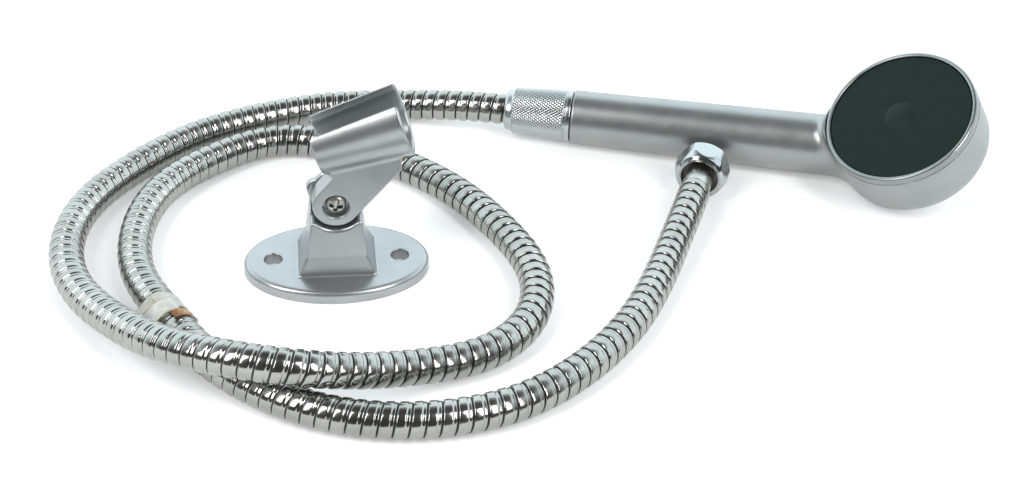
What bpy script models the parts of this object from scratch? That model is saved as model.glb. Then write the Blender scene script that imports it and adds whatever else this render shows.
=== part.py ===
"""Handheld bath sprayer: a round spray head on a straight handle, a stripwound metal hose and a tilting wall holder.

The sprayer lies on its side beside the holder, as it would on a table. Lengths are in millimetres until
a mesh is made, where MM turns them into Blender's metres. +Z is up and Z = 0 is the table.
"""

import math

import bmesh
import bpy
import numpy as np
from mathutils import Vector

MM = 0.001
GAP = 0.3  # air between two pieces that touch

# Sprayer. Its own frame has +X along the handle, from the seam with the hose nut towards the head.
SEAM_AT = (-23.4, 59.2, 12.45)
SPRAYER_YAW = -7.8
SPRAYER_PITCH = -0.8
SPRAYER_ROLL = 24.9
HANDLE_END_R = 12.25
HANDLE_HEAD_R = 13.7
HANDLE_STRAIGHT = 120.0
HANDLE_ROUND_END = 22.0
HANDLE_BORE_R = 9.9
HANDLE_BORE_LENGTH = 100.0
TUBE_SOCKET_R = 6.4
HEAD_ALONG_HANDLE = 158.0
HEAD_TILT = -24.5  # the face leans this far back from square to the handle
FACE_ABOVE_HANDLE = 33.2

# Head, measured down from the top of its rim.
CUP_R = 33.5
CUP_BACK_R = 33.2
CUP_DEPTH = 33.6
CUP_CORNER_R = 12.0
CUP_WALL = 3.0
BEZEL_HEIGHT = 4.0
BEZEL_WEB_TOP = 2.9
BEZEL_INNER_R = 31.4
SKIRT_R = 30.2
SKIRT_INNER_R = 28.2
SKIRT_END = 9.0
SEAL_LEDGE = 11.3
FACE_TOP = 0.6
FACE_THICK = 2.0
HUB_R = 7.2
HUB_DEPTH = 8.0
HUB_FLOOR = 1.8
CAP_R = 7.0
CAP_STEM_R = 5.0
CAP_RISE = 0.9
DISTRIBUTOR_R = 27.6
DISTRIBUTOR_TOP = 12.0
DISTRIBUTOR_THICK = 1.8
BOSS_R = 4.5
BOSS_TOP = 15.5
SCREW_R = 1.7
SCREW_END = 25.0

# Hose and its two ends. A half-inch pipe thread is 20.9 across.
HOSE_R = 7.0
HOSE_Z = 7.2
THREAD_R = 10.2
NUT_BORE_R = 10.55
KNURLED_LENGTH = 31.2
KNURLED_BIG_R = 11.9
KNURLED_SMALL_R = 10.6
TAIL_BORE_R = 3.5
HEX_AT = (32.3, 14.2, 12.0)
HEX_YAW = 75.5
HEX_ROLL = 8.0
HEX_ACROSS_FLATS = 22.0
HEX_TURNED_R = 12.0
HEX_LENGTH = 12.5
HEX_LIP = 3.2
HEX_LIP_R = 8.2
FERRULE_R = 5.9
FERRULE_BACK = -9.7
TIE_AT_POINT = 28  # the tie sits on this point of the route
TIE_LENGTH = 12.0
TIE_WALL = 0.6

# Wall holder. Its own frame has +Z out of the wall plate and +X along the plate's two holes.
HOLDER_AT = (-120.3, -48.2, 0.0)
HOLDER_YAW = 8.5
PLATE_LENGTH = 76.0
PLATE_WIDTH = 49.5
PLATE_THICK = 5.4
PLATE_EDGE_R = 2.2
PLATE_HOLE_R = 3.75
PLATE_HOLE_SPACING = 52.0
PEDESTAL = ((5.0, 15.9, 13.3), (14.0, 12.4, 11.6), (30.0, 10.4, 10.4))  # height, half width, half depth
PIVOT_Z = 37.4
SADDLE_R = 11.0
CHEEK_FRONT = 1.0
CHEEK_BACK = 3.9
CHEEK_TOP_R = 9.8
KNUCKLE_R = 9.4
KNUCKLE_FRONT = -10.0
KNUCKLE_BACK = -0.2
ARM_DIRECTION = 50.0
ARM_BACK = 10.0
ARM_CLEAR_R = 13.4
CLIP_FROM = (-7.3, 60.4)
CLIP_TO = (27.6, 71.9)
CLIP_R = (12.2, 14.5)
CLIP_WALL = 2.5
CLIP_MOUTH = 8.2
PIVOT_SCREW_R = 2.4
PIVOT_HEAD_R = 4.2
COUNTERBORE_R = 5.3
COUNTERBORE_DEPTH = 3.2
PIVOT_NUT_ACROSS = 8.0
PIVOT_NUT_THICK = 3.2

# The hose from the sprayer's nut to the hexagon nut, point by point along its centre.
HOSE_ROUTE = (
    (-52.6, 63.2, 12.0), (-74.3, 66.2, 10.8), (-102.3, 69.2, 7.8), (-134.3, 65.5, HOSE_Z),
    (-166.3, 52.5, HOSE_Z), (-194.3, 32.8, HOSE_Z), (-215.3, 6.5, HOSE_Z), (-228.8, -22.5, HOSE_Z),
    (-230.3, -53.5, HOSE_Z), (-220.2, -79.9, 8.3), (-201.2, -103.5, 12.5), (-180.0, -123.1, 18.8),
    (-154.0, -135.4, 23.0), (-129.8, -139.0, 23.0), (-107.0, -132.7, 17.0), (-80.1, -119.4, 9.5),
    (-54.8, -105.4, HOSE_Z), (-39.8, -84.0, HOSE_Z), (-38.7, -55.5, HOSE_Z), (-53.3, -24.8, HOSE_Z),
    (-73.3, 0.2, HOSE_Z), (-100.3, 20.5, HOSE_Z), (-130.3, 33.1, HOSE_Z), (-156.3, 33.8, HOSE_Z),
    (-181.3, 17.3, HOSE_Z), (-198.8, -7.0, HOSE_Z), (-204.3, -36.5, HOSE_Z), (-197.3, -69.5, HOSE_Z),
    (-182.8, -92.5, 8.2), (-162.3, -117.0, HOSE_Z), (-137.3, -135.5, HOSE_Z), (-106.3, -146.5, HOSE_Z),
    (-74.3, -146.0, HOSE_Z), (-43.3, -134.5, HOSE_Z), (-18.3, -112.3, HOSE_Z), (1.7, -81.0, HOSE_Z),
    (14.2, -48.2, 8.0), (22.8, -20.2, 10.5), (26.9, -6.6, 11.8), (29.8, 4.3, 12.0),
)  # fmt: skip
HOSE_STEP = 19.0


# --- Materials -------------------------------------------------------------------------------------------


def material(name, colour, roughness, metallic=0.0, alpha=1.0):
    made = bpy.data.materials.new(name)
    made.use_nodes = True
    shader = made.node_tree.nodes["Principled BSDF"]
    shader.inputs["Base Color"].default_value = (*colour, 1.0)
    shader.inputs["Roughness"].default_value = roughness
    shader.inputs["Metallic"].default_value = metallic
    shader.inputs["Alpha"].default_value = alpha
    return made


# --- Making meshes ---------------------------------------------------------------------------------------


def add_object(name, bm, finish=None, parent=None):
    """A mesh object from a bmesh in millimetres, with its faces turned outwards."""
    bmesh.ops.recalc_face_normals(bm, faces=bm.faces)
    bmesh.ops.scale(bm, vec=(MM, MM, MM), verts=bm.verts)
    mesh = bpy.data.meshes.new(name)
    bm.to_mesh(mesh)
    bm.free()
    mesh.shade_smooth()
    mesh.set_sharp_from_angle(angle=math.radians(32))
    if finish:
        mesh.materials.append(finish)
    made = bpy.data.objects.new(name, mesh)
    bpy.context.scene.collection.objects.link(made)
    made.parent = parent
    return made


def add_frame(name, at, turn=(0, 0, 0), parent=None):
    """An empty that places the pieces parented to it. turn is in degrees."""
    made = bpy.data.objects.new(name, None)
    made.location = Vector(at) * MM
    made.rotation_euler = [math.radians(a) for a in turn]
    made.parent = parent
    bpy.context.scene.collection.objects.link(made)
    return made


def circle(radius, height, sides, sideways=None, squash=1.0):
    """The points of one ring, round Z, or round X where sideways is set."""
    ring = []
    for i in range(sides):
        a = 2 * math.pi * i / sides
        x, y = radius * math.cos(a), radius * squash * math.sin(a)
        ring.append((height, x, y) if sideways else (x, y, height))
    return ring


def skin(rings, closed=False):
    """A bmesh whose rings of equal length are joined in order, with flat ends unless the last joins the first."""
    bm = bmesh.new()
    loops = [[bm.verts.new(p) for p in ring] for ring in rings]
    pairs = list(zip(loops, loops[1:]))
    if closed:
        pairs.append((loops[-1], loops[0]))
    for low, high in pairs:
        for i in range(len(low)):
            j = (i + 1) % len(low)
            bm.faces.new((low[i], low[j], high[j], high[i]))
    if not closed:
        bm.faces.new(loops[0][::-1])
        bm.faces.new(loops[-1])
    return bm


def turned(outline, sides=40, sideways=True):
    """A turned solid from its outer outline of (place along the axis, radius)."""
    return skin([circle(r, x, sides, sideways) for x, r in outline])


def turned_ring(outline, sides=40, sideways=True):
    """A turned solid with a hole through it, from the closed outline of its wall."""
    return skin([circle(r, x, sides, sideways) for x, r in outline], closed=True)


def extruded(outline, low, high):
    """A prism on an (x, z) outline, from y = low to y = high."""
    return skin([[(x, y, z) for x, z in outline] for y in (low, high)])


def arc(centre, radius, start, end, count):
    """Points along an arc, with its angles in degrees."""
    angles = [math.radians(start + (end - start) * i / count) for i in range(count + 1)]
    return [(centre[0] + radius * math.cos(a), centre[1] + radius * math.sin(a)) for a in angles]


def hexagon_prism(across_flats, low, high):
    """Round X, with a flat at the top and at the bottom."""
    corner = across_flats / 2 / math.cos(math.radians(30))
    points = [(corner * math.cos(math.radians(60 * i)), corner * math.sin(math.radians(60 * i))) for i in range(6)]
    return skin([[(x, y, z) for y, z in points] for x in (low, high)])


def boolean(target, other, operation):
    """Adds the Boolean and leaves its operand out of the model."""
    other.hide_render = True
    other.display_type = "WIRE"
    step = target.modifiers.new(f"{operation.lower()}_{other.name}", "BOOLEAN")
    step.operation = operation
    step.object = other
    step.solver = "EXACT"


def cut(target, name, bm, parent):
    boolean(target, add_object(name, bm, parent=parent), "DIFFERENCE")


def join(target, name, bm, parent):
    boolean(target, add_object(name, bm, parent=parent), "UNION")


# --- Sprayer ---------------------------------------------------------------------------------------------


def handle_outline():
    """The handle's taper, with the rounded end that runs into the back of the head."""
    steps = 6
    end = []
    for i in range(1, steps):
        a = math.radians(90 * i / steps)
        end.append((HANDLE_STRAIGHT + HANDLE_ROUND_END * math.sin(a), HANDLE_HEAD_R * math.cos(a)))
    return [(0.0, HANDLE_END_R - 0.7), (0.8, HANDLE_END_R), (HANDLE_STRAIGHT - 14, HANDLE_HEAD_R),
            (HANDLE_STRAIGHT, HANDLE_HEAD_R), *end]  # fmt: skip


def cup_outline():
    """The outside of the head below its rim, down to the flat of its back."""
    steps = 5
    corner = []
    for i in range(steps + 1):
        a = math.radians(90 * i / steps)
        corner.append((-(CUP_DEPTH - CUP_CORNER_R * (1 - math.sin(a))), CUP_BACK_R - CUP_CORNER_R * (1 - math.cos(a))))
    return [(-(BEZEL_HEIGHT + GAP), CUP_R), *corner]


def cavity_outline():
    """The hollow of the head: wide for the bezel's skirt, then narrower below the seal's ledge."""
    floor = CUP_DEPTH - CUP_WALL
    inner = SKIRT_INNER_R - 0.2
    corner = CUP_CORNER_R - CUP_WALL
    steps = 4
    low = []
    for i in range(steps + 1):
        a = math.radians(90 * i / steps)
        low.append((-(floor - corner * (1 - math.sin(a))), inner - corner * (1 - math.cos(a))))
    return [(5.0, SKIRT_R + GAP), (-SEAL_LEDGE, SKIRT_R + GAP), (-SEAL_LEDGE, inner), *low]


def make_handset(sprayer, head, satin):
    body = add_object("handset_body", turned(handle_outline(), 36), satin, sprayer)
    join(body, "cup_outside", turned(cup_outline(), 64, sideways=None), head)
    bezel_room = [(5.0, CUP_R + GAP), (-(BEZEL_HEIGHT + GAP), CUP_R + GAP)]
    cut(body, "bezel_room", turned(bezel_room, 64, sideways=None), head)
    cut(body, "cup_hollow", turned(cavity_outline(), 64, sideways=None), head)
    bore_end = HEAD_ALONG_HANDLE - 26
    bore = [(-1.0, HANDLE_BORE_R), (HANDLE_BORE_LENGTH, HANDLE_BORE_R), (HANDLE_BORE_LENGTH, TUBE_SOCKET_R),
            (bore_end, TUBE_SOCKET_R)]  # fmt: skip
    cut(body, "handle_bore", turned(bore, 32), sprayer)
    boss = [(-BOSS_TOP, BOSS_R), (-(CUP_DEPTH - 1.0), BOSS_R)]
    join(body, "screw_boss", turned(boss, 24, sideways=None), head)
    hole = [(-(BOSS_TOP - 1.0), SCREW_R + GAP), (-(SCREW_END + 1.0), SCREW_R + GAP)]
    cut(body, "boss_hole", turned(hole, 16, sideways=None), head)


def make_inlet(sprayer, brass, plastic, rubber):
    tube_start = 8.0
    fitting = [(-13.0, 5.0), (-13.0, THREAD_R - 0.3), (-12.6, THREAD_R), (-GAP, THREAD_R),
               (-GAP, HANDLE_BORE_R - GAP), (15.0, HANDLE_BORE_R - GAP), (15.0, TUBE_SOCKET_R),
               (tube_start, TUBE_SOCKET_R), (tube_start, 5.0)]  # fmt: skip
    add_object("inlet_fitting", turned_ring(fitting, 32), brass, sprayer)
    tube_r = TUBE_SOCKET_R - GAP
    tube_end = HANDLE_BORE_LENGTH + 11.0
    tube = [(tube_start + GAP, 4.4), (tube_start + GAP, tube_r), (tube_end, tube_r), (tube_end, 4.4)]
    add_object("water_tube", turned_ring(tube, 24), plastic, sprayer)
    washer = [(-13.3, 5.0), (-15.3, 5.0), (-15.3, 9.4), (-13.3, 9.4)]
    add_object("inlet_washer", turned_ring(washer, 28), rubber, sprayer)


def make_head(head, satin, dark, rubber, plastic, steel):
    bezel = [(-0.25, BEZEL_INNER_R), (0.0, BEZEL_INNER_R + 0.25), (0.0, 33.0), (-0.45, 33.4), (-BEZEL_HEIGHT, 33.4),
             (-BEZEL_HEIGHT, SKIRT_R), (-SKIRT_END, SKIRT_R), (-SKIRT_END, SKIRT_INNER_R),
             (-BEZEL_WEB_TOP, SKIRT_INNER_R), (-BEZEL_WEB_TOP, BEZEL_INNER_R)]  # fmt: skip
    add_object("face_bezel", turned_ring(bezel, 64, sideways=None), satin, head)

    face_r = BEZEL_INNER_R - GAP
    face_back = FACE_TOP + FACE_THICK
    floor = HUB_DEPTH - HUB_FLOOR
    hole_r = SCREW_R + 0.4
    face = [(-FACE_TOP, CAP_STEM_R + GAP), (-FACE_TOP, face_r), (-face_back, face_r), (-face_back, HUB_R),
            (-HUB_DEPTH, HUB_R), (-HUB_DEPTH, hole_r), (-floor, hole_r), (-floor, CAP_STEM_R + GAP)]  # fmt: skip
    add_object("spray_face", turned_ring(face, 64, sideways=None), dark, head)

    dome_foot = FACE_TOP - GAP
    dome = []
    for i in range(4):
        a = math.radians(22 * i)
        dome.append((-dome_foot + CAP_RISE * math.sin(a), CAP_R * (1 - 0.32 * i**2 / 4)))
    cap = [(-(face_back - GAP), CAP_STEM_R), (-dome_foot, CAP_STEM_R), *dome]
    add_object("centre_cap", turned(cap, 28, sideways=None), dark, head)

    screw = [(-(floor - GAP - 2.0), 3.4), (-(floor - GAP), 3.6), (-(floor - GAP), SCREW_R), (-SCREW_END, SCREW_R)]
    add_object("face_screw", turned(screw, 16, sideways=None), steel, head)

    seal_r = 0.85
    seal_at = -(SKIRT_END + SEAL_LEDGE) / 2
    seal = [(seal_at + seal_r * math.sin(a), 29.2 + seal_r * math.cos(a)) for a in np.radians(np.arange(0, 360, 45))]
    add_object("face_seal", turned_ring(seal, 48, sideways=None), rubber, head)

    low = DISTRIBUTOR_TOP + DISTRIBUTOR_THICK
    plate = [(-DISTRIBUTOR_TOP, hole_r), (-DISTRIBUTOR_TOP, DISTRIBUTOR_R), (-low, DISTRIBUTOR_R), (-low, hole_r)]
    distributor = add_object("water_distributor", turned_ring(plate, 36, sideways=None), plastic, head)
    for i in range(6):
        a = math.radians(60 * i + 5)
        port = turned([(-(DISTRIBUTOR_TOP - 2), 3.1), (-(low + 2), 3.1)], 14, sideways=None)
        bmesh.ops.translate(port, verts=port.verts, vec=(17 * math.cos(a), 17 * math.sin(a), 0))
        cut(distributor, f"distributor_port_{i + 1}", port, head)


# --- Hose and its fittings -------------------------------------------------------------------------------


def smooth_curve(points, step):
    """Points about step apart on the natural cubic spline through the given points."""
    p = np.array(points, float)
    t = np.concatenate([[0], np.cumsum(np.linalg.norm(np.diff(p, axis=0), axis=1))])
    h = np.diff(t)
    n = len(p)
    system = np.eye(n)
    right = np.zeros((n, 3))
    for i in range(1, n - 1):
        system[i, i - 1 : i + 2] = h[i - 1], 2 * (h[i - 1] + h[i]), h[i]
        right[i] = 6 * ((p[i + 1] - p[i]) / h[i] - (p[i] - p[i - 1]) / h[i - 1])
    bend = np.linalg.solve(system, right)
    fine = np.linspace(0, t[-1], 2000)
    k = np.clip(np.searchsorted(t, fine) - 1, 0, n - 2)
    a, b, w = (t[k + 1] - fine)[:, None], (fine - t[k])[:, None], h[k][:, None]
    curve = (bend[k] * a**3 + bend[k + 1] * b**3) / (6 * w)
    curve += (p[k] / w - bend[k] * w / 6) * a + (p[k + 1] / w - bend[k + 1] * w / 6) * b
    along = np.concatenate([[0], np.cumsum(np.linalg.norm(np.diff(curve, axis=0), axis=1))])
    places = np.linspace(0, along[-1], round(along[-1] / step) + 1)
    return np.column_stack([np.interp(places, along, curve[:, i]) for i in range(3)])


def make_hose(steel):
    route = smooth_curve(HOSE_ROUTE, HOSE_STEP)
    curve = bpy.data.curves.new("hose", "CURVE")
    curve.dimensions = "3D"
    curve.bevel_depth = HOSE_R * MM
    curve.bevel_resolution = 4
    curve.use_fill_caps = True
    spline = curve.splines.new("POLY")
    spline.points.add(len(route) - 1)
    for point, place in zip(spline.points, route):
        point.co = (*(place * MM), 1.0)
    curve.materials.append(steel)
    bpy.context.scene.collection.objects.link(bpy.data.objects.new("hose", curve))


def make_hose_tie(clear):
    """The clear wrap round the hose's inner strand, just before the outer strand passes over it."""
    before, at, after = (Vector(HOSE_ROUTE[TIE_AT_POINT + i]) for i in (-1, 0, 1))
    frame = add_frame("tie_frame", at)
    frame.rotation_euler = (after - before).to_track_quat("X", "Z").to_euler()
    inner = HOSE_R + GAP
    half = TIE_LENGTH / 2
    wall = [(-half, inner), (-half, inner + TIE_WALL), (half, inner + TIE_WALL), (half, inner)]
    add_object("hose_tie", turned_ring(wall, 28), clear, frame)


def make_knurled_end(sprayer, chrome, brass):
    end = -KNURLED_LENGTH
    mouth = HOSE_R + 0.5
    nut = [(-0.5, NUT_BORE_R), (-0.5, KNURLED_BIG_R - 0.4), (-0.9, KNURLED_BIG_R), (-3.4, KNURLED_BIG_R),
           (-3.8, KNURLED_BIG_R - 0.35), (end + 4.0, KNURLED_SMALL_R), (end + 3.7, KNURLED_SMALL_R - 0.6),
           (end + 0.6, 9.1), (end, 8.5), (end, mouth), (-20.5, mouth), (-18.4, NUT_BORE_R)]  # fmt: skip
    add_object("knurled_nut", turned_ring(nut, 40), chrome, sprayer)
    tail = [(-15.6, TAIL_BORE_R), (-15.6, 9.4), (-17.8, 9.4), (-19.8, 6.9), (end + 2.3, 6.9), (end + 2.3, TAIL_BORE_R)]
    add_object("handset_hose_tail", turned_ring(tail, 28), brass, sprayer)


def make_hex_end(end, chrome, brass, rubber):
    nut = add_object("hex_nut", hexagon_prism(HEX_ACROSS_FLATS, 0, HEX_LENGTH), chrome, end)
    turned_shape = [(0.0, HEX_TURNED_R - 2.6), (0.8, HEX_TURNED_R - 1.4), (3.2, HEX_TURNED_R),
                    (HEX_LENGTH - 1.6, HEX_TURNED_R), (HEX_LENGTH, HEX_TURNED_R - 1.1)]  # fmt: skip
    boolean(nut, add_object("hex_turning", turned(turned_shape, 48), parent=end), "INTERSECT")
    bore = [(-1.0, HEX_LIP_R), (HEX_LIP, HEX_LIP_R), (HEX_LIP, NUT_BORE_R - 0.55), (HEX_LENGTH + 1, NUT_BORE_R - 0.55)]
    cut(nut, "hex_bore", turned(bore, 36), end)

    flange_r = NUT_BORE_R - 1.0
    tail = [(FERRULE_BACK, 3.0), (FERRULE_BACK, 4.2), (HEX_LIP + GAP, 4.2), (HEX_LIP + GAP, flange_r),
            (HEX_LIP + 2.2, flange_r), (HEX_LIP + 2.2, 3.0)]  # fmt: skip
    add_object("hex_hose_tail", turned_ring(tail, 28), brass, end)
    ferrule = [(FERRULE_BACK, 4.5), (FERRULE_BACK, FERRULE_R - 0.5), (FERRULE_BACK + 0.6, FERRULE_R),
               (FERRULE_BACK + 8.5, FERRULE_R), (FERRULE_BACK + 9.2, FERRULE_R - 0.4), (HEX_LIP, FERRULE_R - 0.4),
               (HEX_LIP, 4.5)]  # fmt: skip
    add_object("hex_ferrule", turned_ring(ferrule, 32), chrome, end)
    front = HEX_LIP + 2.2 + GAP
    washer = [(front, 4.0), (front, flange_r), (front + 2.0, flange_r), (front + 2.0, 4.0)]
    add_object("hex_washer", turned_ring(washer, 28), rubber, end)


# --- Wall holder -----------------------------------------------------------------------------------------


def plate_mesh():
    """An oval plate with a rounded upper edge."""
    straight = PLATE_THICK - PLATE_EDGE_R
    steps = 4
    levels = [(0.0, 0.0)]
    for i in range(steps + 1):
        a = math.radians(90 * i / steps)
        levels.append((straight + PLATE_EDGE_R * math.sin(a), PLATE_EDGE_R * (1 - math.cos(a))))
    rings = []
    for height, inset in levels:
        length, width = PLATE_LENGTH / 2 - inset, PLATE_WIDTH / 2 - inset
        rings.append(circle(length, height, 64, squash=width / length))
    return skin(rings)


def pedestal_mesh():
    """Four sloping sides, flared at the foot."""
    rings = []
    for height, x, y in PEDESTAL:
        rings.append([(x, y, height), (-x, y, height), (-x, -y, height), (x, -y, height)])
    return skin(rings)


def cheek_outline():
    """The lug behind the knuckle: square shoulders below a round top."""
    left = [(-10.3, 28.0), (-10.4, 34.2), (-11.5, 38.0), (-11.5, 40.6), (-10.3, 42.4), (-8.0, 43.3)]
    top = arc((0, PIVOT_Z), CHEEK_TOP_R, 127, 53, 10)
    right = [(-x, z) for x, z in reversed(left)]
    return left + top + right


def cylinder_along_y(radius, low, high, x, z, sides=36):
    ring = [(x + radius * math.cos(a), z + radius * math.sin(a)) for a in np.arange(sides) * 2 * math.pi / sides]
    return extruded(ring, low, high)


def make_base(holder, satin):
    base = add_object("wall_base", plate_mesh(), satin, holder)
    join(base, "pedestal", pedestal_mesh(), holder)
    join(base, "cheek", extruded(cheek_outline(), CHEEK_FRONT, CHEEK_BACK), holder)
    cut(base, "saddle", cylinder_along_y(SADDLE_R, -20, CHEEK_FRONT, 0, PIVOT_Z, 48), holder)
    cut(base, "pivot_hole", cylinder_along_y(PIVOT_SCREW_R + GAP, 0, 12, 0, PIVOT_Z, 20), holder)
    for side, name in ((-1, "left"), (1, "right")):
        hole = turned([(-1.0, PLATE_HOLE_R), (PLATE_THICK + 1, PLATE_HOLE_R)], 28, sideways=None)
        bmesh.ops.translate(hole, verts=hole.verts, vec=(side * PLATE_HOLE_SPACING / 2, 0, 0))
        cut(base, f"{name}_fixing_hole", hole, holder)


def from_pivot(distance, angle, across=0.0):
    """A point this far from the pivot along a direction, and this far across it to the left."""
    a = math.radians(angle)
    return (distance * math.cos(a) - across * math.sin(a), PIVOT_Z + distance * math.sin(a) + across * math.cos(a))


def make_arm(holder, satin):
    knuckle = arc((0, PIVOT_Z), KNUCKLE_R, ARM_DIRECTION + 90, ARM_DIRECTION + 270, 20)
    bar_right = from_pivot(29.5, ARM_DIRECTION, -KNUCKLE_R)
    bar_left = from_pivot(9.6, ARM_DIRECTION, KNUCKLE_R)
    web_top = [(26.0, 64.0), (-3.4, 56.0)]
    front = [*knuckle, bar_right, *web_top, bar_left]
    arm = add_object("holder_arm", extruded(front, KNUCKLE_FRONT, KNUCKLE_BACK), satin, holder)

    rear = [*arc((0, PIVOT_Z), ARM_CLEAR_R, 92, 12, 8), bar_right, *web_top]
    join(arm, "web_rear", extruded(rear, KNUCKLE_BACK - 0.5, ARM_BACK), holder)

    run = Vector(CLIP_TO) - Vector(CLIP_FROM)
    clip = add_frame("clip_frame", (CLIP_FROM[0], 0, CLIP_FROM[1]), (0, -math.degrees(math.atan2(run.y, run.x)), 0), holder)
    length = run.length
    lip = 0.7
    outside = [(0, CLIP_R[0] - lip), (lip, CLIP_R[0]), (length - lip, CLIP_R[1]), (length, CLIP_R[1] - lip)]
    join(arm, "clip_outside", turned(outside, 56), clip)
    taper = (CLIP_R[1] - CLIP_R[0]) / length
    inside = [(-2, CLIP_R[0] - CLIP_WALL - 2 * taper), (length + 2, CLIP_R[1] - CLIP_WALL + 2 * taper)]
    cut(arm, "clip_inside", turned(inside, 56), clip)
    mouth = [(-4, 2.0), (length + 4, 2.0), (length + 4, 30.0), (-4, 30.0)]
    cut(arm, "clip_mouth", extruded(mouth, -CLIP_MOUTH, CLIP_MOUTH), clip)

    bottom = KNUCKLE_FRONT + COUNTERBORE_DEPTH
    cut(arm, "counterbore", cylinder_along_y(COUNTERBORE_R, -14, bottom, 0, PIVOT_Z, 32), holder)
    cut(arm, "arm_hole", cylinder_along_y(PIVOT_SCREW_R + GAP, -9, 2, 0, PIVOT_Z, 20), holder)


def make_pivot(holder, steel, nylon):
    """The screw, washer and nut lie along the holder's Y axis: turned solids are made round X and turned by 90 degrees."""
    axis = add_frame("pivot_frame", (0, 0, PIVOT_Z), (0, 0, 90), holder)
    seat = KNUCKLE_FRONT + COUNTERBORE_DEPTH - GAP
    nut_front = CHEEK_BACK + GAP
    nut_back = nut_front + PIVOT_NUT_THICK
    screw = [(seat - 2.2, 2.0), (seat - 1.8, 3.2), (seat - 0.9, PIVOT_HEAD_R), (seat, PIVOT_HEAD_R),
             (seat, PIVOT_SCREW_R), (nut_back + 0.8, PIVOT_SCREW_R)]  # fmt: skip
    add_object("pivot_screw", turned(screw, 24), steel, axis)
    washer = [(KNUCKLE_BACK + GAP, 2.8), (KNUCKLE_BACK + GAP, 6.5), (CHEEK_FRONT - GAP, 6.5), (CHEEK_FRONT - GAP, 2.8)]
    add_object("pivot_washer", turned_ring(washer, 28), nylon, axis)
    nut = add_object("pivot_nut", hexagon_prism(PIVOT_NUT_ACROSS, nut_front, nut_back), steel, axis)
    hole = [(nut_front - 1, PIVOT_SCREW_R + GAP), (nut_back + 1, PIVOT_SCREW_R + GAP)]
    cut(nut, "pivot_nut_hole", turned(hole, 20), axis)


def main():
    for old in list(bpy.data.objects):
        bpy.data.objects.remove(old)

    satin = material("satin_silver", (0.52, 0.54, 0.56), 0.35, 0.85)
    chrome = material("polished_chrome", (0.75, 0.75, 0.75), 0.08, 1.0)
    dark = material("spray_face_dark", (0.018, 0.03, 0.027), 0.4)
    brass = material("brass", (0.62, 0.45, 0.2), 0.3, 1.0)
    rubber = material("black_rubber", (0.02, 0.02, 0.02), 0.8)
    plastic = material("inner_plastic", (0.6, 0.6, 0.58), 0.5)
    steel = material("screw_steel", (0.55, 0.54, 0.52), 0.3, 1.0)
    clear = material("clear_wrap", (0.8, 0.72, 0.6), 0.25, 0.0, 0.4)

    sprayer = add_frame("sprayer_frame", SEAM_AT, (SPRAYER_ROLL, SPRAYER_PITCH, SPRAYER_YAW))
    tilt = math.radians(HEAD_TILT)
    face_centre = (HEAD_ALONG_HANDLE + FACE_ABOVE_HANDLE * math.sin(tilt), 0, FACE_ABOVE_HANDLE * math.cos(tilt))
    head = add_frame("head_frame", face_centre, (0, HEAD_TILT, 0), sprayer)
    make_handset(sprayer, head, satin)
    make_inlet(sprayer, brass, plastic, rubber)
    make_head(head, satin, dark, rubber, plastic, steel)

    make_hose(chrome)
    make_hose_tie(clear)
    make_knurled_end(sprayer, chrome, brass)
    make_hex_end(add_frame("hex_frame", HEX_AT, (HEX_ROLL, 0, HEX_YAW)), chrome, brass, rubber)

    holder = add_frame("holder_frame", HOLDER_AT, (0, 0, HOLDER_YAW))
    make_base(holder, satin)
    make_arm(holder, satin)
    make_pivot(holder, steel, plastic)


main()
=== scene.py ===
"""Looks of the handheld bath sprayer: its satin handset, stripwound hose, coupling nuts and cast wall holder.

Lengths and places are in millimetres in the row frame, as in the CAD source, until mesh_object makes
metres of them. Colours are linear.
"""

import math

import bpy
import numpy as np
from mathutils import Euler, Matrix, Vector


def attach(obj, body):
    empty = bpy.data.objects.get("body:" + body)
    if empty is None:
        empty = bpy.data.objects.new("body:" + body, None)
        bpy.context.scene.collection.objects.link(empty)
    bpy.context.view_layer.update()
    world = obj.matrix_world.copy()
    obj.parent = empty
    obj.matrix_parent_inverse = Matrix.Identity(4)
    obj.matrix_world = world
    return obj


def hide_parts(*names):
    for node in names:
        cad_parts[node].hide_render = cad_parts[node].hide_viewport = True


MM = 0.001
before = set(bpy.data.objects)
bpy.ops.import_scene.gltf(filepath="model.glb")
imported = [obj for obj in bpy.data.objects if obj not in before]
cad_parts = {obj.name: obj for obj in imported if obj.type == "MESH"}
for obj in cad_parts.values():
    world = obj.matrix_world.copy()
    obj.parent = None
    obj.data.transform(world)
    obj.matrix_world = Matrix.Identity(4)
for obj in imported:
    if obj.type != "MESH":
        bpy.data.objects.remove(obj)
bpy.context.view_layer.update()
FINE = 1.0  # meshes are this many times coarser

# Sprayer, as in the CAD source.
SEAM_AT = (-23.4, 59.2, 12.45)
SPRAYER_TURN = (24.9, -0.8, -7.8)
HANDLE_END_R = 12.25
HANDLE_HEAD_R = 13.7
HANDLE_STRAIGHT = 120.0
HANDLE_ROUND_END = 22.0
HEAD_ALONG_HANDLE = 158.0
HEAD_TILT = -24.5  # the face leans this far back from square to the handle
FACE_ABOVE_HANDLE = 33.2
CUP_R = 33.5
CUP_BACK_R = 33.2
CUP_DEPTH = 33.6
CUP_CORNER_R = 12.0
BEZEL_HEIGHT = 4.0
BEZEL_INNER_R = 31.4
SEAT_GAP = 0.1  # air between the bezel and the cup
FACE_TOP = 0.6
CAP_R = 7.0
CAP_RISE = 0.95
NECK_BLEND = 7.0  # how far the fillet between handle and head reaches
KNURLED_LENGTH = 31.2
KNURLED_BIG_R = 11.9
KNURLED_SMALL_R = 10.6
KNURL_DEPTH = 0.22
KNURL_STARTS = 56
KNURL_SLOPE = 0.60
KNURL_ROW = 0.17
KNURLED_SIDES = 560

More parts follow.
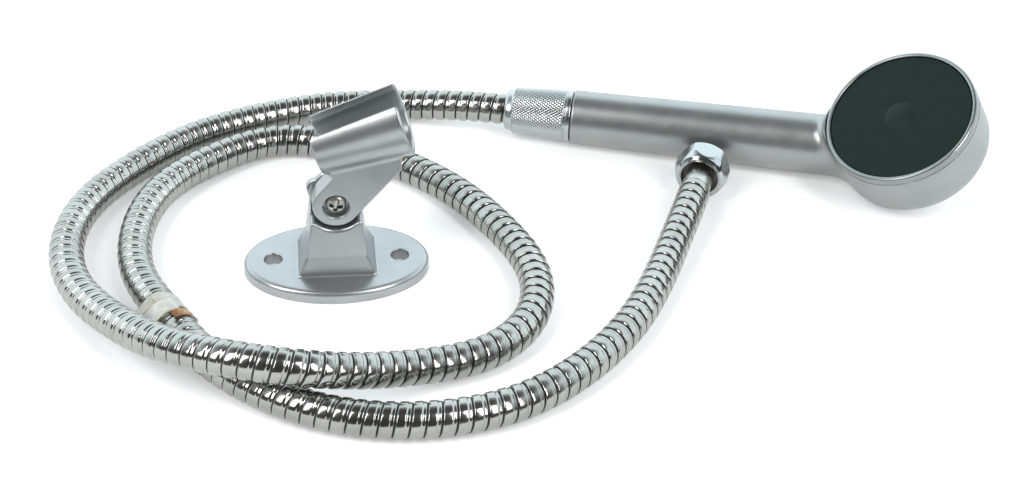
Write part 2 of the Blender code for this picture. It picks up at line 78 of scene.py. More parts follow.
# Hose and hexagon nut.
HOSE_R = 7.0
HOSE_Z = 7.2
HOSE_PITCH = 5.45
HOSE_SIDES = 44
STRIP = (
    (0.000, -0.80), (0.012, -0.78), (0.030, -0.48), (0.052, -0.20), (0.078, -0.06), (0.110, -0.01),
    (0.200, 0.02), (0.320, 0.03), (0.440, 0.03), (0.560, 0.01), (0.605, -0.01), (0.632, -0.07),
    (0.658, -0.18), (0.684, -0.31), (0.715, -0.37), (0.760, -0.39), (0.860, -0.40), (0.890, -0.43),
    (0.920, -0.53), (0.950, -0.74), (0.965, -0.80),
)  # section of the wound strip: share of a pitch, height over HOSE_R
HEX_AT = (32.3, 14.2, 12.0)
HEX_TURN = (8.0, 0.0, 75.5)
HEX_ACROSS_FLATS = 22.0
HEX_TURNED_R = 12.0
HEX_LENGTH = 12.5
HEX_LIP = 3.2
HEX_LIP_R = 8.2
FERRULE_R = 6.25
FERRULE_BORE_R = 4.5
FERRULE_BACK = -9.7
TIE_AT_POINT = 28  # the tape sits on this point of the route
TIE_LENGTH = 12.0
TIE_REACH = 30  # length of hose on each side of the tape that its sheets are laid out along

# Wall holder.
HOLDER_AT = (-120.3, -48.2, 0.0)
HOLDER_YAW = 8.5
PLATE_LENGTH = 76.0
PLATE_WIDTH = 49.5
PLATE_THICK = 5.4
PLATE_HOLE_R = 3.75
PLATE_HOLE_SPACING = 52.0
PEDESTAL = ((5.0, 15.9, 13.3), (14.0, 12.4, 11.6), (30.0, 10.4, 10.4))  # height, half width, half depth
PIVOT_Z = 37.4
SADDLE_R = 11.0
CHEEK_FRONT = 1.0
CHEEK_BACK = 3.9
CHEEK_TOP_R = 9.8
KNUCKLE_R = 9.4
KNUCKLE_FRONT = -10.0
KNUCKLE_BACK = -0.2
ARM_DIRECTION = 50.0
ARM_BACK = 10.0
ARM_CLEAR_R = 13.4
TILT_MIN = -70.0
TILT_MAX = 30.0
TILT_AIR = 0.35
CLIP_FROM = (-7.3, 60.4)
CLIP_TO = (27.6, 71.9)
CLIP_R = (12.2, 14.5)
CLIP_WALL = 2.5
CLIP_MOUTH = 8.2
COUNTERBORE_R = 5.3
COUNTERBORE_DEPTH = 3.2
PIVOT_BORE_R = 2.7
PIVOT_SCREW_R = 2.4
PIVOT_HEAD_R = 4.2
SCREW_TURN = 12.0  # how far the cross recess stands from upright

# Camera.
CAMERA_AT = (-48.3, -599.8, 422.0)
CAMERA_DOWN = 36.5
CAMERA_ROLL = 3.0
CAMERA_LENS = 58.9

# The hose from the sprayer's nut to the hexagon nut, point by point along its centre.
HOSE_ROUTE = (
    (-52.6, 63.2, 12.0), (-74.3, 66.2, 10.8), (-102.3, 69.2, 7.8), (-134.3, 65.5, HOSE_Z),
    (-166.3, 52.5, HOSE_Z), (-194.3, 32.8, HOSE_Z), (-215.3, 6.5, HOSE_Z), (-228.8, -22.5, HOSE_Z),
    (-230.3, -53.5, HOSE_Z), (-220.2, -79.9, 8.3), (-201.2, -103.5, 12.5), (-180.0, -123.1, 18.8),
    (-154.0, -135.4, 23.0), (-129.8, -139.0, 23.0), (-107.0, -132.7, 17.0), (-80.1, -119.4, 9.5),
    (-54.8, -105.4, HOSE_Z), (-39.8, -84.0, HOSE_Z), (-38.7, -55.5, HOSE_Z), (-53.3, -24.8, HOSE_Z),
    (-73.3, 0.2, HOSE_Z), (-100.3, 20.5, HOSE_Z), (-130.3, 33.1, HOSE_Z), (-156.3, 33.8, HOSE_Z),
    (-181.3, 17.3, HOSE_Z), (-198.8, -7.0, HOSE_Z), (-204.3, -36.5, HOSE_Z), (-197.3, -69.5, HOSE_Z),
    (-182.8, -92.5, 8.2), (-162.3, -117.0, HOSE_Z), (-137.3, -135.5, HOSE_Z), (-106.3, -146.5, HOSE_Z),
    (-74.3, -146.0, HOSE_Z), (-43.3, -134.5, HOSE_Z), (-18.3, -112.3, HOSE_Z), (1.7, -81.0, HOSE_Z),
    (14.2, -48.2, 8.0), (22.8, -20.2, 10.5), (26.9, -6.6, 11.8), (29.8, 4.3, 12.0),
)


# --- Camera ----------------------------------------------------------------------------------------------


def make_camera():
    """A camera that looks down at the table, rolled a little."""
    data = bpy.data.cameras.new("camera")
    data.lens = CAMERA_LENS
    data.sensor_width = 36.0
    data.clip_start = 0.05
    camera = bpy.data.objects.new("camera", data)
    bpy.context.scene.collection.objects.link(camera)
    down, roll = math.radians(CAMERA_DOWN), math.radians(CAMERA_ROLL)
    forward = Vector((0, math.cos(down), -math.sin(down)))
    level_up = Vector((0, math.sin(down), math.cos(down)))
    right = Vector((1, 0, 0)) * math.cos(roll) + level_up * math.sin(roll)
    up = level_up * math.cos(roll) - Vector((1, 0, 0)) * math.sin(roll)
    turn = Matrix((right, up, -forward)).transposed().to_4x4()
    camera.matrix_world = Matrix.Translation(Vector(CAMERA_AT) * MM) @ turn
    bpy.context.scene.camera = camera


# --- Materials -------------------------------------------------------------------------------------------


def nodes_of(name):
    made = bpy.data.materials.new(name)
    made.use_nodes = True
    return made, made.node_tree, made.node_tree.nodes["Principled BSDF"]


def noise(tree, scale, detail=3.0):
    """A noise texture in object space."""
    place = tree.nodes.new("ShaderNodeTexCoord")
    texture = tree.nodes.new("ShaderNodeTexNoise")
    texture.inputs["Scale"].default_value = scale
    texture.inputs["Detail"].default_value = detail
    tree.links.new(place.outputs["Object"], texture.inputs["Vector"])
    return texture


def span(tree, texture, low, high):
    """The texture's value mapped onto a range."""
    mapped = tree.nodes.new("ShaderNodeMapRange")
    mapped.inputs["From Min"].default_value = 0.3
    mapped.inputs["From Max"].default_value = 0.7
    mapped.inputs["To Min"].default_value = low
    mapped.inputs["To Max"].default_value = high
    tree.links.new(texture.outputs["Fac"], mapped.inputs["Value"])
    return mapped.outputs["Result"]


def add_bump(tree, shader, texture, height):
    bump = tree.nodes.new("ShaderNodeBump")
    bump.inputs["Strength"].default_value = 1.0
    bump.inputs["Distance"].default_value = height * MM
    tree.links.new(texture.outputs["Fac"], bump.inputs["Height"])
    tree.links.new(bump.outputs["Normal"], shader.inputs["Normal"])


def add_tint(tree, shader, texture, dark, light):
    ramp = tree.nodes.new("ShaderNodeValToRGB")
    ramp.color_ramp.elements[0].position = 0.35
    ramp.color_ramp.elements[0].color = (*dark, 1)
    ramp.color_ramp.elements[1].position = 0.65
    ramp.color_ramp.elements[1].color = (*light, 1)
    tree.links.new(texture.outputs["Fac"], ramp.inputs["Fac"])
    tree.links.new(ramp.outputs["Color"], shader.inputs["Base Color"])


def metal(name, dark, light, rough_low, rough_high, grain=900.0, bump=0.0, metallic=1.0, cloud=60.0):
    """A metal with faint cloudy colour, uneven polish and, where bump is set, a fine surface grain."""
    made, tree, shader = nodes_of(name)
    shader.inputs["Metallic"].default_value = metallic
    add_tint(tree, shader, noise(tree, cloud), dark, light)
    tree.links.new(span(tree, noise(tree, cloud * 3), rough_low, rough_high), shader.inputs["Roughness"])
    if bump:
        add_bump(tree, shader, noise(tree, grain, 2.0), bump)
    return made


def plain(name, dark, light, rough_low, rough_high, grain=1500.0, bump=0.02):
    """Rubber or moulded plastic."""
    made, tree, shader = nodes_of(name)
    add_tint(tree, shader, noise(tree, 180.0), dark, light)
    tree.links.new(span(tree, noise(tree, 400.0), rough_low, rough_high), shader.inputs["Roughness"])
    add_bump(tree, shader, noise(tree, grain, 2.0), bump)
    return made


def spray_face(name, gloss, rough):
    """Dull dark green-black plastic."""
    dark, light = (0.0095, 0.0190, 0.0155), (0.0110, 0.0210, 0.0175)
    made = plain(name, dark, light, rough - 0.04, rough + 0.04, 1800, 0.006)
    made.node_tree.nodes["Principled BSDF"].inputs["Specular IOR Level"].default_value = gloss
    return made


def clear_wrap(name, dark, light, cover):
    """Clear tape that has gone cloudy. cover is how much it hides what is under it."""
    made, tree, shader = nodes_of(name)
    add_tint(tree, shader, noise(tree, 120.0, 4.0), dark, light)
    tree.links.new(span(tree, noise(tree, 260.0), 0.15, 0.28), shader.inputs["Roughness"])
    shader.inputs["IOR"].default_value = 1.46
    tree.links.new(span(tree, noise(tree, 160.0, 3.0), cover - 0.12, cover + 0.12), shader.inputs["Alpha"])
    add_bump(tree, shader, noise(tree, 350.0, 3.0), 0.12)
    return made


def make_materials():
    """Every finish by its short name. Metals have: colours, roughness, grain, bump, metallic, cloudiness."""
    return {
        "satin": metal(
            "satin_silver", (0.325, 0.34, 0.335), (0.355, 0.37, 0.365), 0.33, 0.38, 2200, 0.006, 0.88
        ),
        "cast": metal(
            "cast_silver", (0.365, 0.38, 0.385), (0.40, 0.415, 0.42), 0.29, 0.34, 1300, 0.012, 0.86, 90.0
        ),
        "sleeve": metal("satin_sleeve", (0.40, 0.40, 0.38), (0.48, 0.48, 0.46), 0.24, 0.32, 1800, 0.01),
        "chrome": metal("polished_chrome", (0.40, 0.42, 0.42), (0.46, 0.48, 0.48), 0.07, 0.12),
        "knurl": metal("knurled_chrome", (0.42, 0.44, 0.44), (0.48, 0.50, 0.50), 0.20, 0.27),
        "hose": metal("hose_steel", (0.320, 0.320, 0.300), (0.390, 0.390, 0.370), 0.13, 0.19),
        # painted shade: a near-black finish for the hose grooves and the screw's cross recess
        "seam": metal("hose_seam_shadow", (0.05, 0.05, 0.05), (0.08, 0.08, 0.08), 0.4, 0.5),
        "rim": metal("polished_rim", (0.27, 0.285, 0.285), (0.31, 0.325, 0.325), 0.28, 0.34),
        "steel": metal("screw_steel", (0.42, 0.42, 0.40), (0.52, 0.51, 0.49), 0.24, 0.36, 1600, 0.01),
        # painted shade: near-black metal for pieces seen only down in dark gaps
        "shade": metal("shaded_metal", (0.09, 0.085, 0.075), (0.13, 0.12, 0.11), 0.3, 0.45, 1500, 0.01),
        "brass": metal("turned_brass", (0.50, 0.36, 0.16), (0.62, 0.46, 0.22), 0.22, 0.34, 1800, 0.008),
        "dark": spray_face("spray_face_dark", 0.10, 0.55),
        "dome": spray_face("spray_dome_dark", 0.13, 0.46),
        "rubber": plain("black_rubber", (0.015, 0.015, 0.015), (0.028, 0.028, 0.028), 0.6, 0.8),
        "plastic": plain("inner_plastic", (0.50, 0.50, 0.48), (0.60, 0.60, 0.57), 0.35, 0.5),
        "wrap": clear_wrap("clear_wrap", (0.60, 0.59, 0.54), (0.76, 0.76, 0.74), 0.50),
        "yellow": clear_wrap("yellowed_wrap", (0.42, 0.36, 0.17), (0.62, 0.55, 0.33), 0.66),
        "brown": clear_wrap("brown_wrap", (0.26, 0.09, 0.025), (0.60, 0.34, 0.15), 0.66),
    }


# --- Making meshes ---------------------------------------------------------------------------------------


def mesh_object(name, points, faces, finish, body, normals=None):
    """A piece from points in millimetres that rides on a body. Normals, where given, are one per point."""
    mesh = bpy.data.meshes.new(name)
    mesh.from_pydata((np.asarray(points) * MM).tolist(), [], [tuple(int(i) for i in face) for face in faces])
    mesh.materials.append(finish)
    mesh.shade_smooth()
    if normals is None:
        mesh.set_sharp_from_angle(angle=math.radians(34))
    else:
        mesh.normals_split_custom_set_from_vertices(np.asarray(normals).tolist())
    made = bpy.data.objects.new(name, mesh)
    bpy.context.scene.collection.objects.link(made)
    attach(made, body)
    return made


def placement(at, turn=(0, 0, 0)):
    """A 4x4 array that places local millimetres in the row frame. turn is in degrees."""
    turned = Euler([math.radians(a) for a in turn]).to_matrix().to_4x4()
    return np.array(Matrix.Translation(Vector(at)) @ turned)


def placed(matrix, points):
    return np.asarray(points) @ matrix[:3, :3].T + matrix[:3, 3]


def local(matrix, points):
    return (points - matrix[:3, 3]) @ matrix[:3, :3]


def rounded(outline, radius, closed=False, steps=3):
    """The outline with each corner cut by a small arc, so that every edge catches the light."""
    points = [np.array(p, float) for p in outline]
    made = []
    for i, here in enumerate(points):
        if not closed and i in (0, len(points) - 1):
            made.append(here)
            continue
        back, ahead = points[i - 1] - here, points[(i + 1) % len(points)] - here
        reach = min(radius, 0.45 * np.linalg.norm(back), 0.45 * np.linalg.norm(ahead))
        start = here + back / np.linalg.norm(back) * reach
        end = here + ahead / np.linalg.norm(ahead) * reach
        for t in np.linspace(0, 1, steps + 1):
            made.append((1 - t) ** 2 * start + 2 * t * (1 - t) * here + t**2 * end)
    return made


def lathe(outline, sides, axis="x", closed=False):
    """Points and faces turned round an axis from (along, radius) points. Open outlines get end caps."""
    outline = np.asarray(outline, float)
    turn = 2 * math.pi * np.arange(sides) / sides
    along = np.repeat(outline[:, 0], sides)
    a, b = np.outer(outline[:, 1], np.cos(turn)).ravel(), np.outer(outline[:, 1], np.sin(turn)).ravel()
    points = np.column_stack([along, a, b] if axis == "x" else [a, b, along])
    rows = len(outline)
    faces = grid_faces(rows + 1 if closed else rows, sides, rows * sides)
    if not closed:
        faces += [list(range(sides))[::-1], list(range((rows - 1) * sides, rows * sides))]
    return points, faces


def grid_faces(rows, sides, total):
    """Quads between rows of points that close on themselves."""
    i = np.arange(sides)
    j = (i + 1) % sides
    made = []
    for row in range(rows - 1):
        low, high = row * sides, (row + 1) * sides
        made += (np.column_stack([low + i, low + j, high + j, high + i]) % total).tolist()
    return made


def turned_piece(name, outline, matrix, finish, body, sides=96, axis="x", closed=False, edge=0.25):
    points, faces = lathe(rounded(outline, edge, closed), int(sides / FINE), axis, closed)
    return mesh_object(name, placed(matrix, points), faces, finish, body)


# --- Solids described by distance ------------------------------------------------------------------------


def smooth_union(a, b, blend):
    return np.minimum(a, b) - np.maximum(blend - np.abs(a - b), 0) ** 2 / (4 * blend)


def smooth_common(a, b, blend):
    return -smooth_union(-a, -b, blend)


def outline_distance(p, outline):
    """Signed distance from 2-D points to a closed outline, negative inside."""
    outline = np.asarray(outline, float)
    nearest = np.full(len(p), 1e9)
    side = np.ones(len(p))
    for here, before in zip(outline, np.roll(outline, 1, axis=0)):
        edge, away = before - here, p - here
        share = np.clip(away @ edge / (edge @ edge), 0, 1)
        gap = away - share[:, None] * edge
        nearest = np.minimum(nearest, (gap**2).sum(1))
        above, below = p[:, 1] >= here[1], p[:, 1] < before[1]
        turn = edge[0] * away[:, 1] > edge[1] * away[:, 0]
        crossing = (above & below & turn) | (~above & ~below & ~turn)
        side[crossing] *= -1
    return side * np.sqrt(nearest)


def extruded(p, outline, low, high, edge):
    """An (x, z) outline from y = low to y = high, with its rims rounded."""
    flat = outline_distance(p[:, [0, 2]], outline)
    return smooth_common(flat, np.abs(p[:, 1] - (low + high) / 2) - (high - low) / 2, edge)


def net(field, low, high, step):
    """Quads over the zero surface of a distance field, one point to each cell that it crosses."""
    low, high = np.array(low, float), np.array(high, float)
    step *= FINE
    count = np.ceil((high - low) / step).astype(int) + 1
    ticks = [low[k] + step * np.arange(count[k]) for k in range(3)]
    inside = np.empty(count, bool)
    y, z = np.meshgrid(ticks[1], ticks[2], indexing="ij")
    for i, x in enumerate(ticks[0]):
        sheet = np.column_stack([np.full(y.size, x), y.ravel(), z.ravel()])
        inside[i] = (field(sheet) < 0).reshape(y.shape)
    corners = sum(
        inside[a : count[0] - 1 + a, b : count[1] - 1 + b, c : count[2] - 1 + c].astype(int)
        for a in (0, 1) for b in (0, 1) for c in (0, 1)
    )
    mixed = (corners > 0) & (corners < 8)
    number = np.full(mixed.shape, -1)
    number[mixed] = np.arange(mixed.sum())
    points = low + (np.argwhere(mixed) + 0.5) * step
    faces = []
    for axis in range(3):
        a, b = [k for k in range(3) if k != axis]
        ahead = np.moveaxis(inside, axis, 0)[1:]
        here = np.moveaxis(inside, axis, 0)[:-1]
        cells = np.moveaxis(number, axis, 0)
        change = (here != ahead)[:, 1:-1, 1:-1]
        at = np.argwhere(change)
        i, j, k = at[:, 0], at[:, 1] + 1, at[:, 2] + 1
        corner_cells = [cells[i, j - 1, k - 1], cells[i, j, k - 1], cells[i, j, k], cells[i, j - 1, k]]
        quads = np.column_stack(corner_cells)
        flip = here[i, j, k] == (axis == 1)
        quads[flip] = quads[flip][:, ::-1]
        faces.append(quads)
    nudge = 0.02
    for _ in range(5):
        slope = gradient(field, points, nudge)
        size = (slope**2).sum(1, keepdims=True)
        move = field(points)[:, None] * slope / np.maximum(size, 0.05)
        points -= np.clip(move, -0.6 * step, 0.6 * step)
    slope = gradient(field, points, nudge)
    return points, np.concatenate(faces), slope / np.linalg.norm(slope, axis=1, keepdims=True)


def gradient(field, points, nudge):
    made = np.empty_like(points)
    for k in range(3):
        step = np.zeros(3)
        step[k] = nudge
        made[:, k] = (field(points + step) - field(points - step)) / (2 * nudge)
    return made


def net_object(name, surface, matrix, finish, body):
    points, faces, normals = surface
    return mesh_object(name, placed(matrix, points), faces, finish, body, normals @ matrix[:3, :3].T)


def net_piece(name, field, low, high, step, matrix, finish, body, slot):
    return net_object(name, net(field, low, high, step), matrix, finish, body)


# --- Hose ------------------------------------------------------------------------------------------------


def smooth_curve(points, step):
    """Points about step apart on the natural cubic spline through the given points."""
    p = np.array(points, float)
    t = np.concatenate([[0], np.cumsum(np.linalg.norm(np.diff(p, axis=0), axis=1))])
    h = np.diff(t)
    n = len(p)
    system = np.eye(n)
    right = np.zeros((n, 3))
    for i in range(1, n - 1):
        system[i, i - 1 : i + 2] = h[i - 1], 2 * (h[i - 1] + h[i]), h[i]
        right[i] = 6 * ((p[i + 1] - p[i]) / h[i] - (p[i] - p[i - 1]) / h[i - 1])
    bend = np.linalg.solve(system, right)
    fine = np.linspace(0, t[-1], 8000)
    k = np.clip(np.searchsorted(t, fine) - 1, 0, n - 2)
    a, b, w = (t[k + 1] - fine)[:, None], (fine - t[k])[:, None], h[k][:, None]
    curve = (bend[k] * a**3 + bend[k + 1] * b**3) / (6 * w)
    curve += (p[k] / w - bend[k] * w / 6) * a + (p[k + 1] / w - bend[k + 1] * w / 6) * b
    along = np.concatenate([[0], np.cumsum(np.linalg.norm(np.diff(curve, axis=0), axis=1))])
    places = np.linspace(0, along[-1], round(along[-1] / step) + 1)
    return np.column_stack([np.interp(places, along, curve[:, i]) for i in range(3)]), along[-1]


def carried_frames(line):
    """A tangent, side and up at each point of the line, carried along it with no twist."""
    tangent = np.gradient(line, axis=0)
    tangent /= np.linalg.norm(tangent, axis=1, keepdims=True)
    side = np.empty_like(tangent)
    start = np.cross(tangent[0], (0, 0, 1))
    side[0] = start / np.linalg.norm(start)
    for i in range(1, len(line)):
        carried = side[i - 1] - (side[i - 1] @ tangent[i]) * tangent[i]
        side[i] = carried / np.linalg.norm(carried)
    return tangent, side, np.cross(side, tangent)


def make_hose(finishes):
    """The strip winds round the hose once each pitch: a wide raised band, a lower step and a seam whose
    groove is painted dark as shade.
    """
    line, length = smooth_curve(HOSE_ROUTE, 1.0)
    tangent, side, up = carried_frames(line)
    reach = np.linspace(0, length, len(line))
    sides = int(HOSE_SIDES / FINE)
    turns = int(length / HOSE_PITCH)
    pitch = length / turns
    phase, drop = np.array(STRIP).T
    columns = len(STRIP)
    rows = (turns + 1) * sides + 1
    wound = np.arange(rows)[:, None] / sides + phase[None] - 1
    s = np.clip(wound * pitch, 0, length)
    angle = 2 * math.pi * np.arange(rows)[:, None] / sides
    radius = HOSE_R + drop[None] + np.zeros_like(s)

    def along(values):
        return np.stack([np.interp(s, reach, values[:, i]) for i in range(3)], -1)

    out = along(side) * np.cos(angle)[..., None] + along(up) * np.sin(angle)[..., None]
    points = (along(line) + out * radius[..., None]).reshape(-1, 3)
    index = np.arange(rows * columns).reshape(rows, columns)
    inner = np.stack([index[:-1, :-1], index[1:, :-1], index[1:, 1:], index[:-1, 1:]], -1)
    last, first = index[:-sides, -1], index[sides:, 0]
    joins = np.stack([last[:-1], last[1:], first[1:], first[:-1]], -1)
    faces = np.concatenate([inner.reshape(-1, 4), joins])
    # painted shade: the faces down in each groove and the joins between turns take the near-black finish
    seam = np.zeros(inner.shape[:2], int)
    seam[:, [0, 1, columns - 3, columns - 2]] = 1
    seams = np.concatenate([seam.ravel(), np.ones(len(joins), int)])
    made = mesh_object("hose_stripwound", points, faces, finishes["hose"], "sprayer")
    made.data.materials.append(finishes["seam"])
    made.data.polygons.foreach_set("material_index", seams)
    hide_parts("hose")
    return made, line, length


def wrapped_patch(line, side, up, along, angles, height, rows, columns, loose=0.0):
    """Points of a thin creased sheet laid on the hose between two angles, lifting off at its far end."""
    grid = []
    for x in np.linspace(along[0], along[1], rows):
        low = int(math.floor(TIE_REACH + x))
        share = TIE_REACH + x - low
        centre, s, u = ((1 - share) * v[low] + share * v[low + 1] for v in (line, side, up))
        turn = np.radians(np.linspace(angles[0], angles[1], columns))
        crease = 0.12 * np.sin(3 * turn + 0.9 * x) + 0.08 * np.sin(7 * turn - 1.3 * x)
        lift = loose * np.linspace(0, 1, columns) ** 2
        radius = HOSE_R + height + crease + lift
        grid.append(centre + radius[:, None] * (np.outer(np.cos(turn), s) + np.outer(np.sin(turn), u)))
    return np.array(grid)


def sheet_faces(rows, columns, offset):
    index = offset + np.arange(rows * columns).reshape(rows, columns)
    quads = np.stack([index[:-1, :-1], index[1:, :-1], index[1:, 1:], index[:-1, 1:]], -1)
    edge = np.zeros(quads.shape[:2], int)
    edge[[0, -1], :] = 1
    edge[:, -1] = 1
    return quads.reshape(-1, 4), edge.ravel()


def make_tie(tapes):
    """Old tape: a clear wrap, two loose ends towards the outer loop, and a torn brown strip."""
    line, _ = smooth_curve(HOSE_ROUTE, 1.0)
    at = np.argmin(((line - np.array(HOSE_ROUTE[TIE_AT_POINT])) ** 2).sum(1))
    near = line[at - TIE_REACH : at + TIE_REACH + 1]  # one point each millimetre
    _, side, up = carried_frames(near)
    outward = 1.0 if side[TIE_REACH] @ (-1, -1, 0) > 0 else -1.0
    half = TIE_LENGTH / 2
    sheets = [
        wrapped_patch(near, outward * side, up, (-half + 4, half + 3), (60, 420), 0.35, 22, 96),
        wrapped_patch(near, outward * side, up, (-half + 3, half - 4), (50, -20), 0.75, 18, 34, loose=6.5),
        wrapped_patch(near, outward * side, up, (half - 3, half + 5), (105, -12), 0.95, 18, 34, loose=5.0),
        wrapped_patch(near, -outward * side, up, (half + 5, half + 9), (8, 104), 0.50, 12, 26, loose=0.8),
    ]
    points, faces, tints = [], [], []
    for sheet in sheets:
        quads, edge = sheet_faces(*sheet.shape[:2], sum(len(p) for p in points))
        points.append(sheet.reshape(-1, 3))
        faces.append(quads)
        tints.append(np.full_like(edge, 2) if sheet is sheets[-1] else edge)
    points, faces = np.concatenate(points), np.concatenate(faces)
    made = mesh_object("hose_tape", points, faces, tapes[0], "sprayer")
    for tape in tapes[1:]:
        made.data.materials.append(tape)
    made.data.polygons.foreach_set("material_index", np.concatenate(tints))
    skin = made.modifiers.new("thickness", "SOLIDIFY")
    skin.thickness = 0.15 * MM
    skin.offset = 0
    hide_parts("hose_tie")
    return made


# --- Sprayer ---------------------------------------------------------------------------------------------

SPRAYER = placement(SEAM_AT, SPRAYER_TURN)
TILT = math.radians(HEAD_TILT)
FACE_CENTRE = (HEAD_ALONG_HANDLE + FACE_ABOVE_HANDLE * math.sin(TILT), 0, FACE_ABOVE_HANDLE * math.cos(TILT))
HEAD_IN_SPRAYER = placement(FACE_CENTRE, (0, HEAD_TILT, 0))
HEAD = SPRAYER @ HEAD_IN_SPRAYER
HEX = placement(HEX_AT, HEX_TURN)
HOLDER = placement(HOLDER_AT, (0, 0, HOLDER_YAW))


def handle_distance(p):
    """A slightly tapered round handle with an egg-shaped end inside the head."""
    x = p[:, 0]
    r = np.hypot(p[:, 1], p[:, 2])
    taper_end = HANDLE_STRAIGHT - 14
    wall = HANDLE_END_R + (HANDLE_HEAD_R - HANDLE_END_R) * np.clip(x / taper_end, 0, 1)
    past = np.maximum(x - HANDLE_STRAIGHT, 0) / HANDLE_ROUND_END * HANDLE_HEAD_R
    return smooth_common(np.hypot(r, past) - wall, -x, 0.8)


def cup_distance(p):
    """The round cup of the head, in its own frame, with its rounded back corner."""
    r = np.hypot(p[:, 0], p[:, 1])
    low, high = -CUP_DEPTH, -(BEZEL_HEIGHT + 0.25)
    radius = CUP_BACK_R + (CUP_R - CUP_BACK_R) * (p[:, 2] - low) / (high - low)
    out = np.maximum(r - (radius - CUP_CORNER_R), 0)
    down = np.maximum(low + CUP_CORNER_R - p[:, 2], 0)
    return np.where(p[:, 2] < low + CUP_CORNER_R, np.hypot(out, down) - CUP_CORNER_R, r - radius)


def handset_distance(p):
    in_head = local(HEAD_IN_SPRAYER, p)
    above_seat = in_head[:, 2] + BEZEL_HEIGHT + SEAT_GAP
    inside_rim = CUP_R + 0.12 - np.hypot(in_head[:, 0], in_head[:, 1])
    cup = np.maximum(cup_distance(in_head), in_head[:, 2] + 0.9)
    joined = smooth_union(handle_distance(p), cup, NECK_BLEND)
    return np.maximum(joined, np.minimum(above_seat, inside_rim))


def make_handset(finishes):
    """The shell, then the rim, the face disc and its centre dome, all in the head's own frame."""
    box = (-2, -36, -22), (194, 36, 46)
    body = net_piece(
        "handset_shell", handset_distance, *box, 0.55, SPRAYER, finishes["satin"], "sprayer", "satin_silver"
    )
    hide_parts("handset_body")
    rim = [
        (-BEZEL_HEIGHT, 33.4),
        (-0.55, 33.4),
        (0.0, 32.7),
        (0.0, BEZEL_INNER_R + 0.35),
        (-0.35, BEZEL_INNER_R),
        (-2.6, BEZEL_INNER_R),
        (-2.6, 28.2),
        (-9.0, 28.2),
        (-9.0, 30.2),
        (-BEZEL_HEIGHT, 30.2),
    ]
    bezel = head_piece("face_rim", rim, finishes["rim"], 200, 0.3, closed=True)
    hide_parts("face_bezel")
    face_r = BEZEL_INNER_R - 0.3
    disc = [
        (-2.5, 0.01),
        (-2.5, face_r),
        (-FACE_TOP - 0.15, face_r),
        (-FACE_TOP, face_r - 0.4),
        (-FACE_TOP, 0.01),
    ]
    face = head_piece("spray_disc", disc, finishes["dark"], 160, 0.15)
    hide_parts("spray_face")
    dome = [(-FACE_TOP - 0.15, CAP_R)]
    for share in np.linspace(0, 1, 12):
        dome.append((-FACE_TOP + 0.02 + CAP_RISE * (1 - (1 - share) ** 2), CAP_R * (1 - share) + 0.01))
    cap = head_piece("centre_dome", dome, finishes["dome"], 96, 0.1)
    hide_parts("centre_cap")


def head_piece(name, outline, finish, sides, edge, closed=False):
    return turned_piece(name, outline, HEAD, finish, "sprayer", sides, "z", closed, edge)


def knurl_height(x, turn, radius):
    """Crossed V grooves that leave small diamonds, from 0 in a groove to 1 on a point."""
    lean = KNURL_SLOPE * x / radius
    waves = [np.abs(2 * np.mod(KNURL_STARTS * (turn + s * lean) / (2 * math.pi), 1) - 1) for s in (-1, 1)]
    return np.minimum(waves[0], waves[1])


def make_knurled_nut(finishes):
    """A tapered nut: a plain band with a groove, diamond knurling, then a polished collar at the hose."""
    end = -KNURLED_LENGTH
    sides = int(KNURLED_SIDES / FINE)
    turn = 2 * math.pi * np.arange(sides) / sides
    knurl_from, knurl_to = end + 4.1, -3.9
    base = [
        (-0.5, 10.6),
        (-0.5, KNURLED_BIG_R - 0.15),
        (-0.9, KNURLED_BIG_R),
        (-2.5, KNURLED_BIG_R),
        (-2.7, KNURLED_BIG_R - 0.5),
        (-3.3, KNURLED_BIG_R - 0.5),
        (-3.6, KNURLED_BIG_R - 0.1),
    ]
    collar = [
        (knurl_from, KNURLED_SMALL_R),
        (end + 3.7, KNURLED_SMALL_R - 0.55),
        (end + 3.2, 9.75),
        (end + 0.9, 9.3),
        (end, 8.5),
        (end, 7.5),
        (-20.5, 7.5),
    ]
    rows = [(x, r, 0.0) for x, r in rounded(base, 0.15)]
    for x in np.arange(knurl_to, knurl_from, -KNURL_ROW * FINE):
        share = (knurl_to - x) / (knurl_to - knurl_from)
        rows.append((x, KNURLED_BIG_R - 0.1 + (KNURLED_SMALL_R - KNURLED_BIG_R + 0.1) * share, KNURL_DEPTH))
    rows += [(x, r, 0.0) for x, r in rounded(collar, 0.35)]
    points = []
    for x, r, depth in rows:
        radius = r - depth * (1 - knurl_height(x, turn, r)) if depth else np.full(sides, r)
        points.append(np.column_stack([np.full(sides, x), radius * np.cos(turn), radius * np.sin(turn)]))
    faces = grid_faces(len(rows), sides, len(rows) * sides)
    points = placed(SPRAYER, np.concatenate(points))
    nut = mesh_object("knurled_coupling", points, faces, finishes["knurl"], "knurled_nut")
    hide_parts("knurled_nut")


